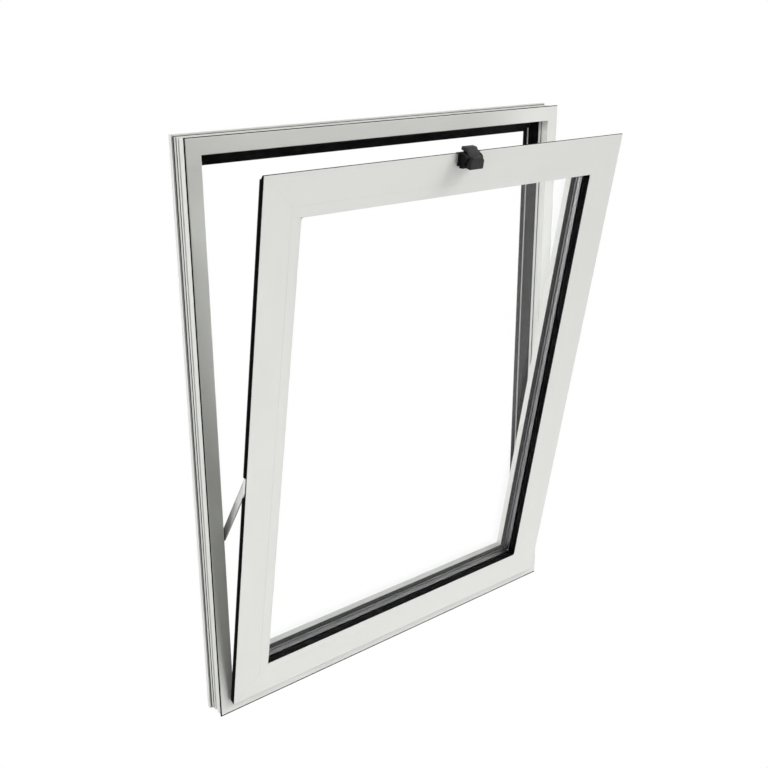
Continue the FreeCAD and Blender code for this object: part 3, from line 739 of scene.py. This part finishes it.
def screw_head(middle, radius):
    """Domed head with a lobed recess: rings whose radius and height follow the rows of the screw's section,
    and whose radius swells and shrinks once for each lobe in the recess.  Gives (u, v, w) points."""
    angle = np.arange(SCREW_SIDES) * 2 * np.pi / SCREW_SIDES
    in_recess = np.arange(len(SCREW_RADII))[:, None] >= SCREW_RECESS_ROW
    lobes = np.where(in_recess, 1 + SCREW_LOBE_DEPTH * np.cos(SCREW_LOBES * angle), 1.0)
    r = radius * SCREW_RADII[:, None] * lobes
    return np.stack([middle[0] + r * np.cos(angle), middle[1] + r * np.sin(angle),
                     np.broadcast_to(SCREW_H * SCREW_HEIGHTS[:, None], r.shape)], -1)


def make_frame_leaf(name, middle):
    """Hinge leaf on the frame: a softened outline notched for the sash's knuckle, two knuckles, the pin that
    runs through all three, and screws."""
    half, inner = HINGE_HALF, KNUCKLE_HALF + KNUCKLE_GAP
    outline = [(-half, HINGE_Z), (-inner, HINGE_Z), (-inner, LEAF_LOW), (inner, LEAF_LOW), (inner, HINGE_Z),
               (half, HINGE_Z), (half, FRAME_LEAF_TOP), (-half, FRAME_LEAF_TOP)]
    plate = softened(outline, FRAME_LEAF_ROUND) + (middle, 0)
    grids = [along_y(slab(plate, -ROOM_Y, -ROOM_Y + LEAF_T, LEAF_RIM))]
    tube = circle(KNUCKLE_R, (HINGE_Y, HINGE_Z))
    end = half - KNUCKLE_SHORT
    for x0, x1 in ((-end, -inner), (inner, end)):
        grids.append(along_x(slab(tube, middle + x0, middle + x1, LEAF_RIM)))
    pin = circle(HINGE_PIN_R, (HINGE_Y, HINGE_Z), HINGE_PIN_SIDES)
    grids.append(along_x(slab(pin, middle - half, middle + half, HINGE_PIN_RIM)))
    height = (LEAF_LOW + FRAME_LEAF_TOP) / 2
    for x in LEAF_SCREWS:
        head = screw_head((middle + x, height), LEAF_SCREW_R)
        grids.append(along_y(head + (0, 0, -ROOM_Y + LEAF_T)))
    add_piece("hinge_" + name + "_fixed_leaf", [(grid, False) for grid in grids], "white_hinge", "frame",
              ["hinge_" + name + "_frame_leaf"])


def make_sash_leaf(name, middle):
    """Hinge leaf on the sash: a softened outline, a neck to its knuckle, and screws from behind."""
    half, inner = HINGE_HALF, KNUCKLE_HALF
    outline = [(-inner, HINGE_Z), (inner, HINGE_Z), (inner, LEAF_LOW), (half, LEAF_LOW),
               (half, SASH_LEAF_TOP), (-half, SASH_LEAF_TOP), (-half, LEAF_LOW), (-inner, LEAF_LOW)]
    plate = softened(outline, SASH_LEAF_ROUND) + (middle, 0)
    neck = rectangle(HINGE_Y - NECK_T, HINGE_Y, HINGE_Z, LEAF_LOW, NECK_ROUND)
    tube = circle(KNUCKLE_R, (HINGE_Y, HINGE_Z))
    grids = [along_y(slab(plate, -SASH_LEAF_Y - LEAF_T, -SASH_LEAF_Y, LEAF_RIM)),
             along_x(slab(neck, middle - inner, middle + inner, NECK_RIM)),
             along_x(slab(tube, middle - inner, middle + inner, LEAF_RIM))]
    height = (LEAF_LOW + SASH_LEAF_TOP) / 2 + SASH_SCREW_UP
    for x in LEAF_SCREWS:
        head = along_y(screw_head((middle - x, height), LEAF_SCREW_R)) * (1, -1, 1)
        grids.append(head + (0, SASH_LEAF_Y + LEAF_T, 0))
    add_piece("hinge_" + name + "_sash_leaf_dressed", [(tilt_open(grid), False) for grid in grids],
              "white_hinge", "sash", ["hinge_" + name + "_sash_leaf"])


def make_hanger(name, hand):
    """Stay's bracket on the jamb: a plate with softened corners, the pivot with its head, and two screws."""
    pivot = (STAY_Y, STAY_PIVOT_Z)
    plate = rectangle(STAY_Y - BRACKET_W / 2, STAY_Y + BRACKET_W / 2,
                      STAY_PIVOT_Z - BRACKET_H / 2, STAY_PIVOT_Z + BRACKET_H / 2, BRACKET_CORNER)
    stem = (BRACKET[1] - STAY_PIN_SINK, PIVOT_HEAD[0] + STAY_PIN_SINK)
    grids = [slab(plate, *BRACKET, BRACKET_RIM),
             slab(circle(STAY_PIN_R, pivot), *stem, PIVOT_RIM),
             slab(circle(PIVOT_HEAD_R, pivot, HEAD_SIDES), *PIVOT_HEAD, PIVOT_HEAD_RIM)]
    for up in BRACKET_SCREWS:
        grids.append(screw_head((STAY_Y, STAY_PIVOT_Z + up), BRACKET_SCREW_R) + (0, 0, BRACKET[1]))
    add_piece("stay_" + name + "_hanger", [(beside(hand, grid), False) for grid in grids], "stay_steel",
              "frame", ["stay_" + name + "_bracket"])


def stay_lean():
    """Lean of a stay that holds its upper pin on the open sash's track, in radians, found by repeated trial:
    the lean gives the pin's height, the track's place at that height gives the next lean."""
    lean = OPEN_TURN
    for _ in range(STAY_TRIALS):
        height = STAY_PIVOT_Z - HINGE_Z + STAY_L * math.cos(lean)
        behind = (TRACK_Y - HINGE_Y) / math.cos(OPEN_TURN)
        reach = STAY_Y - HINGE_Y + height * math.tan(OPEN_TURN) - behind
        lean = math.asin(reach / STAY_L)
    return lean


def make_arm(name, hand):
    """Stay's flat arm: an upright capsule with its upper pin and collar, leaned about the pivot."""
    top = STAY_PIVOT_Z + STAY_L
    upper = (STAY_Y, top)
    strip = capsule(STAY_W / 2, STAY_PIVOT_Z, top) + (STAY_Y, 0)
    grids = [slab(strip, *ARM, ARM_RIM),
             slab(circle(STAY_PIN_R, upper), ARM[1] - STAY_PIN_SINK, UPPER_PIN_END, UPPER_PIN_RIM),
             slab(circle(COLLAR_R, upper, HEAD_SIDES), *COLLAR, COLLAR_RIM)]
    lean = stay_lean()
    leaned = [(turned(beside(hand, grid), lean, STAY_Y, STAY_PIVOT_Z), False) for grid in grids]
    add_piece("stay_" + name + "_strip", leaned, "stay_steel", name + "_stay", ["stay_" + name + "_arm"])


def make_rail(name, hand):
    """Stay's slotted track on the sash: for every point of its softened section an upright capsule is drawn,
    with the point's distance from the slot's middle as its half width."""
    low, high = closed_range("stay_" + name + "_track")
    half = TRACK_W / 2
    section = softened([(SLOT_R, TRACK[0]), (half, TRACK[0]), (half, TRACK[1]), (SLOT_R, TRACK[1])],
                       TRACK_ROUND, PROFILE_STEPS)
    loops = np.stack([capsule(r, low + half, high - half) for r in section[:, 0]], 0) + (TRACK_Y, 0)
    inset = np.broadcast_to(section[:, 1][:, None, None], (*loops.shape[:2], 1))
    rail = beside(hand, np.concatenate([loops, inset], -1))
    add_piece("stay_" + name + "_rail", [(tilt_open(rail), True)], "stay_steel", "sash",
              ["stay_" + name + "_track"])


def latch_across(outline, x0, x1, rim):
    """An outline of (out, up) on the latch carried from one x to another, on the open sash."""
    grid = slab(outline, x0, x1, rim)
    points = np.stack([LATCH_X + grid[..., 2], SASH_Y - grid[..., 0], SASH_TOP + grid[..., 1]], -1)
    return tilt_open(points), False


def ear_rib(x, out):
    """Upright round rib on the side of an ear, on the open sash: a circle of (x, out) carried up."""
    rib = circle(RIB_R, (LATCH_X + x, out - SASH_Y), RIB_SIDES)
    grid = slab(rib, SASH_TOP + RIB_UP[0], SASH_TOP + RIB_UP[1], RIB_RIM)
    return tilt_open(np.stack([grid[..., 0], -grid[..., 1], grid[..., 2]], -1)), False


def make_latch():
    """Rocker latch: base with its lip, two ribbed ears and the pin, hooded rocker, and the thumb piece."""
    half, lip = LATCH_BASE_W / 2, LATCH_LIP_W / 2
    ear = softened(EAR, EAR_ROUND)
    pin_end = EAR_END + LATCH_PIN_PROUD
    grids = [latch_across(softened(LATCH_BASE, LATCH_BASE_ROUND), -half, half, LATCH_BASE_RIM),
             latch_across(softened(LATCH_LIP, LATCH_LIP_ROUND), -lip, lip, LATCH_LIP_RIM),
             latch_across(ear, -EAR_END, -EAR_START, EAR_RIM),
             latch_across(ear, EAR_START, EAR_END, EAR_RIM),
             latch_across(circle(LATCH_PIN_R, LATCH_AXIS), -pin_end, pin_end, LATCH_PIN_PROUD)]
    grids += [ear_rib(x, out) for out in RIBS_OUT for x in (-EAR_END, EAR_END)]
    # the body has a darker copy of the latch plastic: painted shade of its sides turned from the key lamp
    add_piece("latch_body", grids, "latch_plastic", "sash", ["latch_base"],
              latch_plastic("latch_base_plastic_painted_shade", LATCH_BASE_SHADED_BLACK))

    side = ROCKER_W / 2
    grids = [latch_across(softened(HOOD, HOOD_ROUND, LATCH_STEPS), -side, side, HOOD_RIM),
             latch_across(softened(ROCKER, ROCKER_ROUND, LATCH_STEPS), -side, side, ROCKER_RIM)]
    add_piece("latch_hood", grids, "latch_plastic", "latch", ["latch_rocker"])

    side, cut = THUMB_W / 2, THUMB_W / 2 - THUMB_CHAMFER
    low, high = THUMB_UP
    outline = softened([(-side, low), (side, low), (side, high - THUMB_CHAMFER), (cut, high), (-cut, high),
                        (-side, high - THUMB_CHAMFER)], THUMB_ROUND) + (LATCH_X, SASH_TOP)
    thumb = slab(outline, THUMB_OUT[0] - SASH_Y, THUMB_OUT[1] - SASH_Y, THUMB_RIM, THUMB_RIM_STEPS)
    add_piece("latch_thumb_piece", [(tilt_open(along_y(thumb)), False)], "latch_plastic", "latch",
              ["latch_thumb"])


FINISHES = make_finishes()
place_camera()
light_world()
light_lamps()
lay_floor()
dress_nodes()
make_frame_seals()
make_overlap_seal()
make_glazing()
for hand_name, hand_sign in HANDS.items():
    make_frame_leaf(hand_name, hand_sign * HINGE_X)
    make_sash_leaf(hand_name, hand_sign * HINGE_X)
for hand_name, hand_sign in HANDS.items():
    make_hanger(hand_name, hand_sign)
    make_arm(hand_name, hand_sign)
    make_rail(hand_name, hand_sign)
make_latch()
bpy.context.scene.view_settings.view_transform = "Standard"
